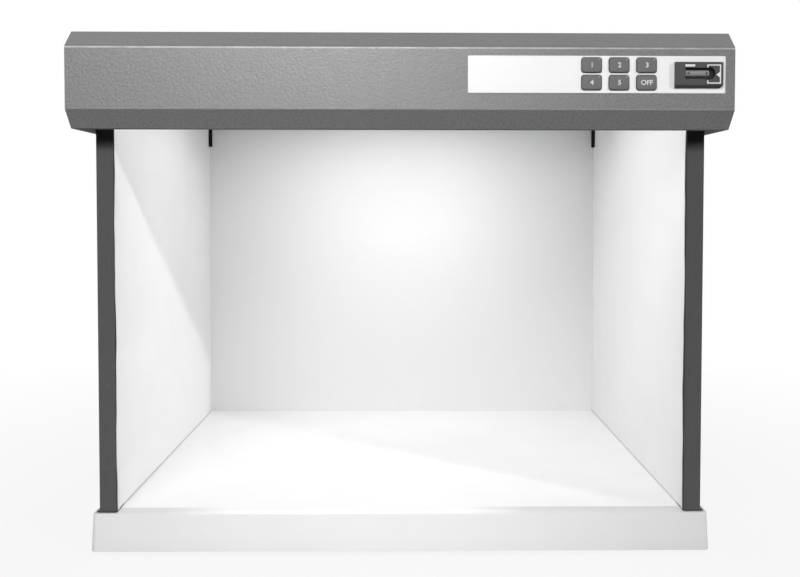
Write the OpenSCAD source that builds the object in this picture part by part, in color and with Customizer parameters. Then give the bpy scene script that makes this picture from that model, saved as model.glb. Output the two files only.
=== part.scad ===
// Desktop colour viewing booth: a lamp hood standing on a three-walled cabinet with a base pan.
// Millimetres, +Z up, the open front toward -Y. The origin lies on the table under the booth's middle.
// Modules are drawn with y = 0 on the flat front face of the hood, and placed() centres them in depth.

/* [Cabinet] */
// Clear width between the side panels
inner_w = 618; // [580:1:680]
// Depth from the front of the edge channels to the back panel
inner_depth = 470; // [420:1:520]
// Clear height from the deck to the lower edge of the hood
opening_h = 412.5; // [330:0.5:480]
// Thickness of each side panel
side_t = 16.5; // [14:0.5:20]
// Thickness of the back panel
back_t = 12.5; // [9:0.5:18]
// Radius of the bolts that join the panels
bolt_r = 3; // [2:0.25:3.5]
// Length of bolt inside a panel
bolt_len = 30; // [15:1:45]

/* [Edge channels] */
// Thickness of a channel's front web
channel_web = 1.5; // [1:0.1:3]
// Thickness of a channel's legs
channel_leg_t = 1; // [0.8:0.1:1.6]
// Depth of a channel from its front
channel_depth = 8; // [6:0.5:20]
// Height of the shoe under a side panel
shoe_h = 1.2; // [0.8:0.1:4]
// How far a shoe stands out past its side panel
shoe_lip = 4; // [2:0.5:6]
// Height of the black angle in each rear corner
strap_h = 31; // [20:1:60]
// Leg of the rear angle along the back panel
strap_back_leg = 4; // [3:0.5:10]
// Leg of the rear angle along the side panel
strap_side_leg = 9; // [5:0.5:20]

/* [Base] */
// Height of the base pan
base_h = 43; // [36:0.5:60]
// How far the base's top stands out past the side panels
base_margin = 9.5; // [7:0.5:12]
// How far the base's walls spread from top to bottom
base_draft = 2; // [0.5:0.5:4]
// Sheet thickness of the base pan and its bottom plate
base_t = 1.2; // [1:0.1:2]
// Radius of the pan's rounded edges
base_edge_r = 4; // [3:0.5:8]
// Width of the hem that carries the bottom plate
hem_w = 26; // [25:1:40]
// Height of the feet that shows below the pan
foot_show = 4; // [1:0.5:10]
// Radius of a foot
foot_r = 10; // [8:0.5:11]

/* [Hood] */
// Height of the hood's flat front face
face_h = 64; // [60:1:90]
// Height of the bevels above and below the face
bevel_h = 18.5; // [12:0.5:24]
// Depth of the bevel below the face
bevel_d = 16.5; // [10:0.5:20]
// Depth of the bevel above the face
top_bevel_d = 20; // [10:0.5:24]
// How far the hood stands out past the side panels
hood_margin = 17.5; // [16:0.5:24]
// How far the hood stands out in front of the edge channels
hood_overhang = 42.5; // [36:0.5:60]
// Sheet thickness of the hood
sheet_t = 1.2; // [1:0.1:2]
// Inside radius of the hood's bends
bend_r = 1.5; // [0.5:0.25:3]
// Depth of the lip under the front bevel
lip = 11; // [6:0.5:14]
// Depth of the rear recess behind the hood's rear cover
rear_recess = 4; // [4:0.5:10]

/* [Lamps] */
// Radius of a fluorescent tube
tube_r = 13; // [10:0.5:14]
// Spacing of the lamp rows
row_pitch = 34; // [32:0.5:36]
// Thickness of a tube holder
holder_t = 12; // [10:0.5:13]
// Width of a ballast's case
ballast_w = 120; // [90:1:130]
// Depth of a ballast's case
ballast_d = 58; // [40:1:60]
// Height of a ballast's case
ballast_h = 36; // [25:1:42]

/* [Controls] */
// Width of a key
key_w = 21; // [17:0.5:25]
// Height of a key
key_h = 15.6; // [13:0.1:17]
// Gap between keys, across
key_gap_x = 7.2; // [5:0.1:10]
// Gap between keys, down
key_gap_z = 2.2; // [2:0.1:3]
// How far a key stands out of the control plate
key_proud = 2.2; // [1.8:0.1:4]
// Travel of a key
key_travel = 1.5; // [0.5:0.1:1.5]
// Width of the control plate
plate_w = 264.5; // [230:0.5:290]
// Thickness of the control plate
plate_t = 0.8; // [0.5:0.1:1.5]
// Width of the hour meter's bezel
meter_w = 49; // [44:0.5:56]
// Height of the hour meter's bezel
meter_h = 26.4; // [24:0.2:30]
// How far the bezel stands out of the control plate
meter_proud = 4; // [3:0.5:8]

/* [Hidden] */
$fn = 48;
arc_steps = 6;
cut = 1;
// Gap between parts that slide past each other, and round a bolt
gap = 0.2;
key_play = 0.3;
bolt_play = 0.1;
turn_play = 0.08;
// Levels
plate_recess = 6;
deck_z = foot_show + base_h;
hood_z = deck_z + opening_h;
hood_top = hood_z + face_h + 2*bevel_h;
lamp_room = 55.5;
chassis_z = hood_top - lamp_room;
chassis_top = chassis_z + sheet_t;
panel_z = deck_z + shoe_h;
bottom_plate_z = foot_show + plate_recess;
hem_z = bottom_plate_z + base_t;
// Depths, from the hood's front face
channel_y = hood_overhang;
panel_y0 = channel_y + channel_web;
back_y0 = channel_y + inner_depth;
back_y1 = back_y0 + back_t;
rear_gap = 1;
rear_y0 = back_y1 + rear_gap;
rear_y1 = rear_y0 + sheet_t;
hood_d = rear_y1 + rear_recess;
front_proud = plate_t + meter_proud;
mid_y = (hood_d - front_proud)/2;
// Half widths
inner_x = inner_w/2;
outer_x = inner_x + side_t;
base_x = outer_x + base_margin;
hood_x = outer_x + hood_margin;
end_in = hood_x - sheet_t;
// Base
base_front = 1;
base_rear = 2.5;
base_y0 = channel_y + base_front;
base_y1 = back_y1 + base_rear;
base_d = base_y1 - base_y0;
base_mid = (base_y0 + base_y1)/2;
hem_spread = base_draft*(1 - (hem_z - foot_show)/(base_h - base_edge_r));
hem_x = base_x + hem_spread - base_t;
hem_y = base_d/2 + hem_spread - base_t;
foot_room = 10;
foot_x = hem_x - foot_r - foot_room;
foot_dy = hem_y - foot_r - foot_room;
foot_draft = 1;
foot_screw_r = 2;
foot_head_r = 4;
foot_head_h = 2.5;
foot_pocket = 4;
foot_screw_end = 3;
// Bolts
bolt_head_r = 5;
bolt_head_h = 4;
pan_head_h = 1.6;
pan_head_r = 3.2;
pan_r = 1.6;
pan_len = 7;
bolt_end = 60;
deck_bolt_y = [panel_y0 + bolt_end, back_y0 - bolt_end];
back_bolt_room = 103;
back_bolt_x = inner_x - back_bolt_room;
top_bolt_front = 10;
top_bolt_room = 24.5;
wall_x = inner_x + side_t/2;
wall_y = back_y0 + back_t/2;
rear_screw_drop = 15;
rear_screw_z = [deck_z + bolt_end, (deck_z + hood_z)/2, hood_z - rear_screw_drop];
rear_head_h = 2.2;
// Hood
strap_t = 1.5;
flange_room = 2;
flange_w = hood_margin - sheet_t - flange_room;
flange_end = 10;
cover_flange_y0 = top_bevel_d + flange_end;
cover_flange_y1 = rear_y0 - flange_end;
lip_y = bevel_d + lip;
apron_gap = 0.5;
apron_y = lip_y + apron_gap;
apron_z = hood_z + sheet_t + apron_gap;
chassis_x = end_in - gap;
chassis_y1 = rear_y0 - sheet_t - apron_gap;
side_flange_h = 32;
rear_flange_h = 8;
cover_screw_x = end_in - flange_w/2;
screw_end = 60;
cover_screw_y = [screw_end, hood_d/2, hood_d - screw_end];
end_screw_y = [screw_end, hood_d/2, hood_d - screw_end];
end_screw_rise = 20;
end_screw_z = chassis_top + end_screw_rise;
rear_screw_end = 16;
rear_cover_screw_z = [hood_z + rear_screw_end, hood_top - rear_screw_end];
// Lamps
rows = 8;
bulb_row = 3;
uv_row = 4;
lamp_end_room = 14;
tube_len = inner_w - 2*lamp_end_room;
tube_wall = 1;
cap_len = 12;
pin_len = 7;
pin_r = 1.2;
pin_gap = 6.35;
holder_room = 1;
holder_w = 24;
holder_top = 18;
rail_x = tube_len/2 + holder_room + holder_t;
rail_t = 1.5;
rail_flange = 12;
rail_h = 46;
tube_rise = 23.5;
tube_z = chassis_top + tube_rise;
refl_t = 1;
refl_flange = 12;
refl_slope = 18;
refl_rise = 46;
refl_side = 31;
refl_z = chassis_top + refl_rise;
refl_front = 12.5;
refl_y0 = channel_y + refl_front;
row_y0 = refl_y0 + refl_side;
refl_y1 = row_y0 + (rows - 1)*row_pitch + refl_side;
slot_room = 11;
slot_x = tube_len/2 + slot_room;
holder_bore = 8;
holder_bore_len = 8.5;
pin_slot = 4;
bulbs = 4;
bulb_end = 5;
bulb_pitch = (tube_len - 2*bulb_end)/bulbs;
bulb_x0 = bulb_end - tube_len/2;
bulb_tip_room = 14;
bulb_neck = 10;
bulb_r = 12.5;
socket_r = 12;
socket_len = 30;
socket_bore = 8.5;
socket_floor = 6;
base_cap_r = 8.2;
contact_len = 2;
contact_r = 2.7;
// Rear compartment
ballasts = 4;
ear = 9;
ear_t = 1.5;
ear_d = 29;
ballast_gap = 8;
ballast_pitch = ballast_w + 2*ear + ballast_gap;
ballast_room = 5;
ballast_y0 = refl_y1 + refl_flange + ballast_room;
case_t = 1;
core_room = 4;
loom_r = 3;
loom_rest = 0.3;
loom_room = 7;
loom_end_room = 12;
loom_turn = 14;
loom_y = ballast_y0 + ballast_d + loom_room;
top_bolt_y = [panel_y0 + top_bolt_front, loom_y - top_bolt_room, (loom_y + back_y0)/2];
loom_x = (rail_x + rail_t + rail_flange + chassis_x - sheet_t)/2;
loom_z = chassis_top + loom_r + loom_rest;
block_x = -80;
block_w = 60;
block_d = 22;
block_h = 16;
block_y = loom_y + loom_room;
ways = 6;
way_screw_r = 2.5;
way_screw_depth = 8;
way_wire_r = 1.8;
way_wire_depth = 6;
board_x = 85;
board_w = 130;
board_d = 28;
board_room = 4;
board_t = 1.6;
board_y = chassis_y1 - sheet_t - board_room - board_d;
board_post_in = 5;
post_h = 6;
post_r = 2.5;
relays = 5;
relay_pitch = 23;
relay_w = 18;
relay_d = 14;
relay_h = 15;
// Inlet and fuse on the rear cover
inlet_end = 71;
inlet_drop = 26;
inlet_x = inlet_end - hood_x;
inlet_z = hood_top - inlet_drop;
inlet_w = 50;
inlet_h = 26;
inlet_corner = 3;
inlet_screw_in = 5;
inlet_flange_t = 2.5;
inlet_body_w = 27;
inlet_body_h = 20;
inlet_depth = 20;
socket_w = 24.4;
socket_h = 16.4;
socket_depth = 16;
socket_corner = 4;
inlet_pitch = 7;
inlet_drop_pin = 3;
blade_w = 2;
blade_len = 12;
blade_h = 4;
inlet_head_h = 1.4;
fuse_room = 52;
fuse_x = inlet_x + fuse_room;
fuse_r = 6.5;
fuse_flange_r = 9;
fuse_flange_t = 1.4;
fuse_len = 26;
fuse_bore = 5;
fuse_floor = 4;
fuse_cap_len = 14;
fuse_cap_t = 2;
fuse_cap_rim = 1.5;
fuse_slot = 1;
vents = 24;
vent_x = 74;
vent_w = 5;
vent_h = 26;
vent_corner = 2.3;
vent_pitch = 14.5;
// Controls
plate_margin = 2.3;
plate_end = 10.3;
plate_rise = 4.2;
plate_corner = 1;
plate_h = 2*key_h + key_gap_z + 2*plate_margin;
plate_x = hood_x - plate_end - plate_w/2;
plate_z = hood_top - bevel_h - face_h/2 + plate_rise;
meter_end = 3.6;
meter_drop = 0.6;
meter_x = plate_x + plate_w/2 - meter_w/2 - meter_end;
meter_z = plate_z - meter_drop;
key_pitch_x = key_w + key_gap_x;
key_pitch_z = key_h + key_gap_z;
keys_gap = 18.2;
key_mid_x = meter_x - meter_w/2 - keys_gap - key_w/2 - key_pitch_x;
key_rise = 0.6;
key_mid_z = plate_z + key_rise;
key_corner = 3;
key_edge = 0.8;
key_front = -plate_t - key_proud;
key_flange_y = sheet_t + gap;
key_flange_t = 1.2;
key_lip_x = 1.2;
key_lip_z = 0.8;
stem_r = 2.2;
switch_room = 1.9;
switch_y = key_flange_y + key_flange_t + key_travel + switch_room;
switch_w = 12;
stem_in = 1.5;
stem_room = 1.8;
switch_floor = 1.2;
switch_h = stem_in + key_travel + stem_room + switch_floor;
keypad_y = switch_y + switch_h;
keypad_rim_x = 10;
keypad_rim_z = 6;
keypad_w = 3*key_w + 2*key_gap_x + 2*keypad_rim_x;
keypad_h = 2*key_h + key_gap_z + 2*keypad_rim_z;
post_inset = 3.5;
// Hour meter
meter_front = -plate_t - meter_proud;
meter_rim_x = 3;
meter_rim_z = 3.5;
meter_body_w = meter_w - 2*meter_rim_x;
meter_body_h = meter_h - 2*meter_rim_z;
meter_edge = 0.6;
meter_corner = 2.5;
meter_depth = 9;
meter_chamfer = 3.2;
meter_bottom = 2.6;
meter_window_w = 24;
meter_window_h = 11.2;
meter_window_in = 10.2;
meter_window_x = meter_window_in - meter_w/2;
meter_window_z = 1.5;
meter_window_end = 6.6;
meter_window_d = 6.5;
scale_t = 0.6;
scale_h = 8;
vial_r = 3.2;
clip_t = 1.5;
clip_rim = 2.5;

// Helpers

module placed() {
    translate([0, -mid_y, 0]) children();
}

module both() {
    children();
    mirror([1, 0, 0]) children();
}

module rounded_rect(w, h, r) {
    square([w - 2*r, h], center = true);
    square([w, h - 2*r], center = true);
    for (sx = [-1, 1], sy = [-1, 1]) translate([sx*(w/2 - r), sy*(h/2 - r)]) circle(r);
}

// A flat outline in x and z, drawn out from y0 to y1
module along_y(y0, y1) {
    translate([0, y1, 0]) rotate([90, 0, 0]) linear_extrude(y1 - y0) children();
}

// A flat outline in y and z, drawn out from x0 to x1
module along_x(x0, x1) {
    translate([x0, 0, 0]) rotate([90, 0, 90]) linear_extrude(x1 - x0) children();
}

module rod_x(r, x0, x1) {
    translate([x0, 0, 0]) rotate([0, 90, 0]) cylinder(r = r, h = x1 - x0);
}

module rod_y(r, y0, y1) {
    translate([0, y0, 0]) rotate([-90, 0, 0]) cylinder(r = r, h = y1 - y0);
}

module rod_z(r, z0, z1) {
    translate([0, 0, z0]) cylinder(r = r, h = z1 - z0);
}

function unit(v) = v/norm(v);
function left_of(a, b) = let (d = unit(b - a)) [-d[1], d[0]];
function side_point(p, i, t) = i == 0 ? p[0] + t*left_of(p[0], p[1])
    : i == len(p) - 1 ? p[i] + t*left_of(p[i - 1], p[i])
    : let (a = left_of(p[i - 1], p[i]), b = left_of(p[i], p[i + 1])) p[i] + t*(a + b)/(1 + a*b);
function side_path(p, t) = [for (i = [0:len(p) - 1]) side_point(p, i, t)];
function turn_at(p, i) = cross(p[i] - p[i - 1], p[i + 1] - p[i]);
function bend(p, i, r) = let (a = unit(p[i - 1] - p[i]), b = unit(p[i + 1] - p[i]),
        half = acos(a*b)/2, c = p[i] + unit(a + b)*r/sin(half), u = unit(p[i] - c),
        s = turn_at(p, i) > 0 ? 1 : -1)
    [for (k = [0:arc_steps]) let (g = s*(90 - half)*(2*k/arc_steps - 1))
        c + r*[u[0]*cos(g) - u[1]*sin(g), u[0]*sin(g) + u[1]*cos(g)]];
function bent(p, q, r, t) = [for (i = [0:len(p) - 1])
    each (i == 0 || i == len(p) - 1 ? [p[i]] : bend(p, i, turn_at(q, i)*t > 0 ? r + abs(t) : r))];
function reversed(p) = [for (i = [len(p) - 1:-1:0]) p[i]];

// Outline of a bent sheet: path p, with the sheet's thickness t to its left, or to its right if negative
function sheet(p, t, r) = concat(bent(p, p, r, t), reversed(bent(side_path(p, t), p, r, -t)));

// Base

// The pan's outer form, drawn in by inset: drafted walls with round corners under a round top edge
module base_block(inset, z0) {
    r = base_edge_r - inset;
    x = base_x - base_edge_r;
    y = base_d/2 - base_edge_r;
    edge_z = deck_z - base_edge_r;
    spread = base_draft*(edge_z - z0)/(base_h - base_edge_r);
    wall = [r + spread, r];
    translate([0, base_mid, 0]) {
        for (sx = [-1, 1], sy = [-1, 1]) translate([sx*x, sy*y, 0]) {
            translate([0, 0, z0]) cylinder(r1 = wall[0], r2 = wall[1], h = edge_z - z0);
            translate([0, 0, edge_z]) sphere(r);
        }
        along_x(-x, x) base_wall(y, wall, z0, edge_z);
        along_y(-y, y) base_wall(x, wall, z0, edge_z);
        for (s = [-1, 1]) {
            translate([0, s*y, edge_z]) rod_x(r, -x, x);
            translate([s*x, 0, edge_z]) rod_y(r, -y, y);
        }
        translate([-x, -y, edge_z]) cube([2*x, 2*y, r]);
    }
}

module base_wall(half, wall, z0, z1) {
    polygon([[-half - wall[0], z0], [half + wall[0], z0], [half + wall[1], z1], [-half - wall[1], z1]]);
}

module at_feet() {
    for (sx = [-1, 1], sy = [-1, 1]) translate([sx*foot_x, base_mid + sy*foot_dy, 0]) children();
}

module at_deck_bolts() {
    for (sx = [-1, 1], y = deck_bolt_y) translate([sx*wall_x, y, 0]) children();
    for (sx = [-1, 1]) translate([sx*back_bolt_x, wall_y, 0]) children();
}

module base_pan() {
    color("gainsboro") placed() difference() {
        union() {
            difference() {
                base_block(0, foot_show);
                base_block(base_t, foot_show - cut);
            }
            translate([0, base_mid, hem_z]) linear_extrude(base_t) difference() {
                rounded_rect(2*hem_x + base_t, 2*hem_y + base_t, base_edge_r);
                square([2*(hem_x - hem_w), 2*(hem_y - hem_w)], center = true);
            }
        }
        at_deck_bolts() rod_z(bolt_r + bolt_play, deck_z - base_t - cut, deck_z + cut);
        at_feet() rod_z(foot_screw_r + bolt_play, hem_z - cut, hem_z + base_t + cut);
    }
}

module base_bottom_plate() {
    color("silver") placed() difference() {
        translate([0, base_mid, bottom_plate_z]) linear_extrude(base_t)
            rounded_rect(2*(hem_x - gap), 2*(hem_y - gap), base_edge_r);
        at_feet() rod_z(foot_screw_r + bolt_play, bottom_plate_z - cut, hem_z + cut);
    }
}

module base_feet() {
    color("black") placed() at_feet() difference() {
        cylinder(r1 = foot_r - foot_draft, r2 = foot_r, h = bottom_plate_z);
        rod_z(foot_head_r + gap, -cut, foot_pocket);
        rod_z(foot_screw_r + bolt_play, 0, bottom_plate_z + cut);
    }
}

module foot_screws() {
    color("lightgrey") placed() at_feet() {
        rod_z(foot_head_r, foot_pocket - foot_head_h, foot_pocket);
        rod_z(foot_screw_r, foot_pocket, hem_z + base_t + foot_screw_end);
    }
}

// Panels

module at_top_bolts() {
    for (sx = [-1, 1], y = top_bolt_y) translate([sx*wall_x, y, 0]) children();
}

module at_rear_screws() {
    for (sx = [-1, 1], z = rear_screw_z) translate([sx*wall_x, 0, z]) children();
}

module panel_holes() {
    at_deck_bolts() rod_z(bolt_r + bolt_play, deck_z - cut, deck_z + bolt_len + cut);
    at_top_bolts() rod_z(bolt_r + bolt_play, chassis_z - bolt_len - cut, chassis_z + cut);
    at_rear_screws() rod_y(bolt_r + bolt_play, back_y0 - bolt_len - cut, back_y1 + cut);
}

module side_panel() {
    translate([inner_x, panel_y0, panel_z]) cube([side_t, back_y0 - panel_y0, chassis_z - panel_z]);
}

module left_side_panel() {
    color("whitesmoke") placed() difference() {
        mirror([1, 0, 0]) side_panel();
        panel_holes();
    }
}

module right_side_panel() {
    color("whitesmoke") placed() difference() {
        side_panel();
        panel_holes();
    }
}

module back_panel() {
    color("whitesmoke") placed() difference() {
        translate([-outer_x, back_y0, deck_z]) cube([2*outer_x, back_t, chassis_z - deck_z]);
        panel_holes();
    }
}

module panel_bolts() {
    color("lightgrey") placed() at_deck_bolts() {
        rod_z(bolt_r, deck_z - base_t, deck_z + bolt_len);
        rod_z(bolt_head_r, deck_z - base_t - bolt_head_h, deck_z - base_t);
    }
}

module back_panel_screws() {
    color("lightgrey") placed() at_rear_screws() {
        rod_y(bolt_r, back_y0 - bolt_len, back_y1);
        rod_y(bolt_head_r, back_y1, back_y1 + rear_head_h);
    }
}

module edge_channel() {
    translate([0, 0, panel_z]) linear_extrude(chassis_z - panel_z) difference() {
        translate([inner_x - channel_leg_t, channel_y]) square([side_t + 2*channel_leg_t, channel_depth]);
        translate([inner_x, panel_y0]) square([side_t, channel_depth]);
    }
}

module left_edge_channel() {
    color("dimgrey") placed() mirror([1, 0, 0]) edge_channel();
}

module right_edge_channel() {
    color("dimgrey") placed() edge_channel();
}

module panel_shoes() {
    w = channel_leg_t + side_t + shoe_lip;
    color("dimgrey") placed() difference() {
        both() translate([inner_x - channel_leg_t, channel_y, deck_z]) cube([w, back_y0 - channel_y, shoe_h]);
        at_deck_bolts() rod_z(bolt_r + bolt_play, deck_z - cut, panel_z + cut);
    }
}

module rear_corner_angles() {
    color("black") placed() both() translate([0, 0, chassis_z - strap_h]) linear_extrude(strap_h)
        difference() {
            translate([inner_x - strap_back_leg, back_y0 - strap_side_leg])
                square([strap_back_leg, strap_side_leg]);
            translate([inner_x - strap_back_leg - strap_t, back_y0 - strap_side_leg - strap_t])
                square([strap_back_leg, strap_side_leg]);
        }
}

// Hood

cover_path = [[lip_y, hood_z], [bevel_d, hood_z], [0, hood_z + bevel_h], [0, hood_top - bevel_h],
    [top_bevel_d, hood_top], [hood_d, hood_top]];

module at_cover_screws() {
    for (sx = [-1, 1], y = cover_screw_y) translate([sx*cover_screw_x, y, 0]) children();
}

module at_end_screws() {
    for (y = end_screw_y) translate([0, y, end_screw_z]) children();
}

module at_rear_cover_screws() {
    for (sx = [-1, 1], z = rear_cover_screw_z) translate([sx*cover_screw_x, 0, z]) children();
}

module at_keys() {
    for (c = [-1, 0, 1], r = [0, 1]) at_key(c, r) children();
}

module at_key(c, r) {
    translate([key_mid_x + c*key_pitch_x, 0, key_mid_z + (0.5 - r)*key_pitch_z]) children();
}

module key_openings(y0, y1) {
    at_keys() along_y(y0, y1)
        rounded_rect(key_w + 2*key_play, key_h + 2*key_play, key_corner + key_play);
}

module meter_opening(y0, y1) {
    translate([meter_x, 0, meter_z]) along_y(y0, y1)
        square([meter_body_w + 2*gap, meter_body_h + 2*gap], center = true);
}

module hood_cover() {
    color("darkgrey") placed() difference() {
        along_x(-hood_x, hood_x) polygon(sheet(cover_path, -sheet_t, bend_r));
        key_openings(-cut, sheet_t + cut);
        meter_opening(-cut, sheet_t + cut);
        at_cover_screws() rod_z(pan_r + bolt_play, hood_top - sheet_t - cut, hood_top + cut);
    }
}

module hood_end() {
    inside = bent(side_path(cover_path, -sheet_t - gap), cover_path, bend_r, gap);
    top = hood_top - sheet_t - gap;
    profile = concat([[lip_y + gap, hood_z], [lip_y + gap, hood_z + sheet_t + gap]], inside,
        [[hood_d, hood_z]]);
    difference() {
        union() {
            along_x(end_in, hood_x) polygon(profile);
            translate([end_in - flange_w, cover_flange_y0, top - sheet_t])
                cube([flange_w + cut, cover_flange_y1 - cover_flange_y0, sheet_t]);
            translate([end_in - flange_w, lip_y + gap, hood_z])
                cube([flange_w + cut, rear_y0 - lip_y - gap, sheet_t]);
            translate([end_in - flange_w, rear_y0 - sheet_t, hood_z])
                cube([flange_w + cut, sheet_t, hood_top - hood_z - 2*sheet_t]);
        }
        at_cover_screws() rod_z(pan_r + bolt_play, top - sheet_t - cut, top + cut);
        at_end_screws() rod_x(pan_r + bolt_play, end_in - cut, hood_x + cut);
        at_rear_cover_screws() rod_y(pan_r + bolt_play, rear_y0 - sheet_t - cut, rear_y0 + cut);
    }
}

module hood_left_end() {
    color("darkgrey") placed() mirror([1, 0, 0]) hood_end();
}

module hood_right_end() {
    color("darkgrey") placed() hood_end();
}

module at_vents() {
    for (k = [0:vents - 1]) translate([vent_x + (k - (vents - 1)/2)*vent_pitch, 0, inlet_z])
        children();
}

module hood_rear_cover() {
    w = 2*(end_in - gap);
    h = hood_top - sheet_t - gap - hood_z;
    color("darkgrey") placed() difference() {
        translate([-w/2, rear_y0, hood_z]) cube([w, sheet_t, h]);
        at_vents() along_y(rear_y0 - cut, rear_y1 + cut) rounded_rect(vent_w, vent_h, vent_corner);
        translate([inlet_x, 0, inlet_z]) along_y(rear_y0 - cut, rear_y1 + cut)
            square([inlet_body_w + 2*gap, inlet_body_h + 2*gap], center = true);
        at_inlet_screws() rod_y(pan_r + bolt_play, rear_y0 - cut, rear_y1 + cut);
        translate([fuse_x, 0, inlet_z]) rod_y(fuse_r + gap, rear_y0 - cut, rear_y1 + cut);
        at_rear_cover_screws() rod_y(pan_r + bolt_play, rear_y0 - cut, rear_y1 + cut);
    }
}

module hood_screws() {
    color("lightgrey") placed() {
        at_cover_screws() {
            rod_z(pan_r, hood_top - pan_len, hood_top);
            rod_z(pan_head_r, hood_top, hood_top + pan_head_h);
        }
        both() at_end_screws() {
            rod_x(pan_r, hood_x - pan_len, hood_x);
            rod_x(pan_head_r, hood_x, hood_x + pan_head_h);
        }
        at_rear_cover_screws() {
            rod_y(pan_r, rear_y1 - pan_len, rear_y1);
            rod_y(pan_head_r, rear_y1, rear_y1 + pan_head_h);
        }
    }
}

module lamp_chassis() {
    color("white") placed() difference() {
        union() {
            translate([-chassis_x, apron_y, chassis_z]) cube([2*chassis_x, chassis_y1 - apron_y, sheet_t]);
            translate([-chassis_x, apron_y, apron_z]) cube([2*chassis_x, sheet_t, chassis_top - apron_z]);
            translate([-chassis_x, chassis_y1 - sheet_t, chassis_z])
                cube([2*chassis_x, sheet_t, sheet_t + rear_flange_h]);
            both() translate([chassis_x - sheet_t, apron_y, chassis_z])
                cube([sheet_t, chassis_y1 - apron_y, sheet_t + side_flange_h]);
        }
        translate([-slot_x, refl_y0, chassis_z - cut])
            cube([2*slot_x, refl_y1 - refl_y0, sheet_t + 2*cut]);
        at_top_bolts() rod_z(bolt_r + bolt_play, chassis_z - cut, chassis_top + cut);
        both() at_end_screws() rod_x(pan_r + bolt_play, chassis_x - sheet_t - cut, chassis_x + cut);
        at_ballast_screws() rod_z(pan_r + bolt_play, chassis_z - cut, chassis_top + cut);
    }
}

module chassis_bolts() {
    color("lightgrey") placed() at_top_bolts() {
        rod_z(bolt_r, chassis_z - bolt_len, chassis_top);
        rod_z(bolt_head_r, chassis_top, chassis_top + bolt_head_h);
    }
}

// Lamps

module reflector() {
    path = [[refl_y0 - refl_flange, chassis_top], [refl_y0, chassis_top], [refl_y0 + refl_slope, refl_z],
        [refl_y1 - refl_slope, refl_z], [refl_y1, chassis_top], [refl_y1 + refl_flange, chassis_top]];
    color("white") placed() along_x(gap - rail_x, rail_x - gap) polygon(sheet(path, refl_t, bend_r));
}

module holder_rails() {
    y0 = row_y0 - row_pitch/2;
    len_y = rows*row_pitch;
    color("white") placed() both() {
        translate([rail_x, y0, chassis_top]) cube([rail_t, len_y, rail_h]);
        translate([rail_x, y0, chassis_top]) cube([rail_t + rail_flange, len_y, rail_t]);
    }
}

module at_row(k) {
    translate([0, row_y0 + k*row_pitch, tube_z]) children();
}

module tube_holders() {
    x0 = rail_x - holder_t;
    color("white") placed() both() for (k = [0:rows - 1]) if (k != bulb_row) at_row(k) difference() {
        along_x(x0, rail_x) {
            circle(holder_w/2);
            translate([-holder_w/2, 0]) square([holder_w, holder_top]);
        }
        rod_x(holder_bore, x0 - cut, x0 + holder_bore_len);
        translate([x0 - cut, -pin_slot/2, -holder_w]) cube([holder_bore_len + cut, pin_slot, holder_w]);
    }
}

module tube_glass() {
    half = tube_len/2 - cap_len;
    difference() {
        rod_x(tube_r, -half, half);
        rod_x(tube_r - tube_wall, -half - cut, half + cut);
    }
}

module day_tubes() {
    color("ivory") placed() for (k = [0, rows - 1]) at_row(k) tube_glass();
}

module cool_white_tubes() {
    color("ivory") placed() for (k = [1, rows - 2]) at_row(k) tube_glass();
}

module store_tubes() {
    color("ivory") placed() for (k = [2, rows - 3]) at_row(k) tube_glass();
}

module uv_tube() {
    color("midnightblue") placed() at_row(uv_row) tube_glass();
}

module tube_caps() {
    color("silver") placed() both() for (k = [0:rows - 1]) if (k != bulb_row) at_row(k) {
        rod_x(tube_r, tube_len/2 - cap_len, tube_len/2);
        for (s = [-1, 1]) translate([0, s*pin_gap, 0]) rod_x(pin_r, tube_len/2, tube_len/2 + pin_len);
    }
}

module at_bulbs() {
    for (k = [0:bulbs - 1]) at_row(bulb_row) translate([bulb_x0 + k*bulb_pitch, 0, 0]) children();
}

module bulb_sockets() {
    color("linen") placed() at_bulbs() difference() {
        union() {
            rod_x(socket_r, 0, socket_len);
            translate([0, -socket_r/2, 0]) cube([socket_len, socket_r, refl_z - tube_z]);
        }
        rod_x(socket_bore, socket_floor, socket_len + cut);
    }
}

module bulb_bases() {
    color("goldenrod") placed() at_bulbs() {
        rod_x(base_cap_r, socket_floor + contact_len, socket_len + contact_len);
        rod_x(contact_r, socket_floor, socket_floor + contact_len);
    }
}

module bulbs_frosted() {
    neck = socket_len + contact_len;
    tip = bulb_pitch - bulb_r - bulb_tip_room;
    color("snow") placed() at_bulbs() rotate([0, 90, 0]) rotate_extrude() {
        polygon([[0, neck], [base_cap_r, neck], [bulb_r, neck + bulb_neck], [bulb_r, tip], [0, tip]]);
        translate([0, tip]) intersection() {
            circle(bulb_r);
            square(bulb_r);
        }
    }
}

// Rear compartment

module at_ballasts() {
    for (k = [0:ballasts - 1])
        translate([(k - (ballasts - 1)/2)*ballast_pitch, ballast_y0, chassis_top]) children();
}

module at_ballast_screws() {
    for (k = [0:ballasts - 1], s = [-1, 1])
        translate([(k - (ballasts - 1)/2)*ballast_pitch + s*(ballast_w + ear)/2, ballast_y0 + ballast_d/2, 0])
            children();
}

module ballast_cases() {
    color("darkslategrey") placed() difference() {
        at_ballasts() difference() {
            union() {
                translate([-ballast_w/2, 0, 0]) cube([ballast_w, ballast_d, ballast_h]);
                translate([-ballast_w/2 - ear, (ballast_d - ear_d)/2, 0])
                    cube([ballast_w + 2*ear, ear_d, ear_t]);
            }
            translate([case_t - ballast_w/2, case_t, -case_t])
                cube([ballast_w - 2*case_t, ballast_d - 2*case_t, ballast_h]);
        }
        at_ballast_screws() rod_z(pan_r + bolt_play, chassis_top - cut, chassis_top + ear_t + cut);
    }
}

module ballast_cores() {
    color("dimgrey") placed() at_ballasts() translate([core_room - ballast_w/2, core_room, 0])
        cube([ballast_w - 2*core_room, ballast_d - 2*core_room, ballast_h - core_room]);
}

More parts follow.
